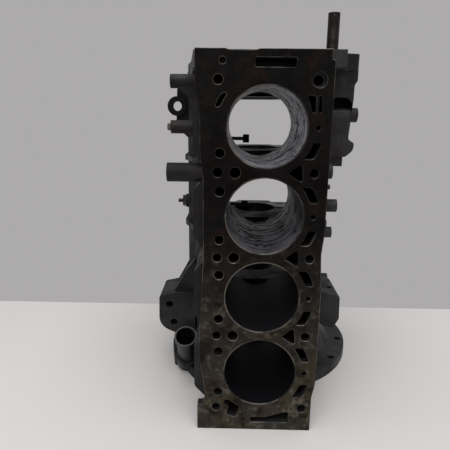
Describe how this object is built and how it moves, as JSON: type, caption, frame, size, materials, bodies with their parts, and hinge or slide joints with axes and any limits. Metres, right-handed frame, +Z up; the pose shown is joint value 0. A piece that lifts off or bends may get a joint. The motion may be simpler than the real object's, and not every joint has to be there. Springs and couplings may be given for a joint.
{
  "type": "engine block",
  "caption": "Bare inline diesel engine block standing on its gearbox flange, with open cylinder bores, a closed deck, bearing caps, cooling jets, plugs and an oil filler tube.",
  "frame": {"origin": "the crankshaft axis in the flywheel face, which is the face the block stands on", "axes": "+Z up along the crankshaft axis to the timing end, -Y out of the deck face, +Y towards the sump"},
  "size_m": [0.2977, 0.293, 0.486],
  "materials": {
    "block_iron": "matte",
    "cap_iron": "satin",
    "fastener_steel": "satin",
    "jet_steel": "satin",
    "plug_steel": "satin",
    "tube_steel": "satin"
  },
  "bodies": {
    "root": {"engine_block": "block_iron", "main_bearing_cap_1": "cap_iron", "main_bearing_cap_2": "cap_iron", "main_bearing_cap_3": "cap_iron", "main_bearing_cap_4": "cap_iron", "main_bearing_cap_5": "cap_iron", "main_cap_bolt_1": "fastener_steel", "main_cap_bolt_2": "fastener_steel", "main_cap_bolt_3": "fastener_steel", "main_cap_bolt_4": "fastener_steel", "main_cap_bolt_5": "fastener_steel", "main_cap_bolt_6": "fastener_steel", "main_cap_bolt_7": "fastener_steel", "main_cap_bolt_8": "fastener_steel", "main_cap_bolt_9": "fastener_steel", "main_cap_bolt_10": "fastener_steel", "cooling_jet_1": "jet_steel", "cooling_jet_2": "jet_steel", "cooling_jet_3": "jet_steel", "cooling_jet_4": "jet_steel", "jet_bolt_1": "fastener_steel", "jet_bolt_2": "fastener_steel", "jet_bolt_3": "fastener_steel", "jet_bolt_4": "fastener_steel", "core_plug_1": "plug_steel", "core_plug_2": "plug_steel", "core_plug_3": "plug_steel", "gallery_plug_1": "plug_steel", "gallery_plug_2": "plug_steel", "filler_tube": "tube_steel", "guide_pin": "fastener_steel", "sensor_plug": "fastener_steel", "side_stud": "fastener_steel", "side_nut": "fastener_steel", "bracket_stud": "fastener_steel"}
  },
  "joints": []
}
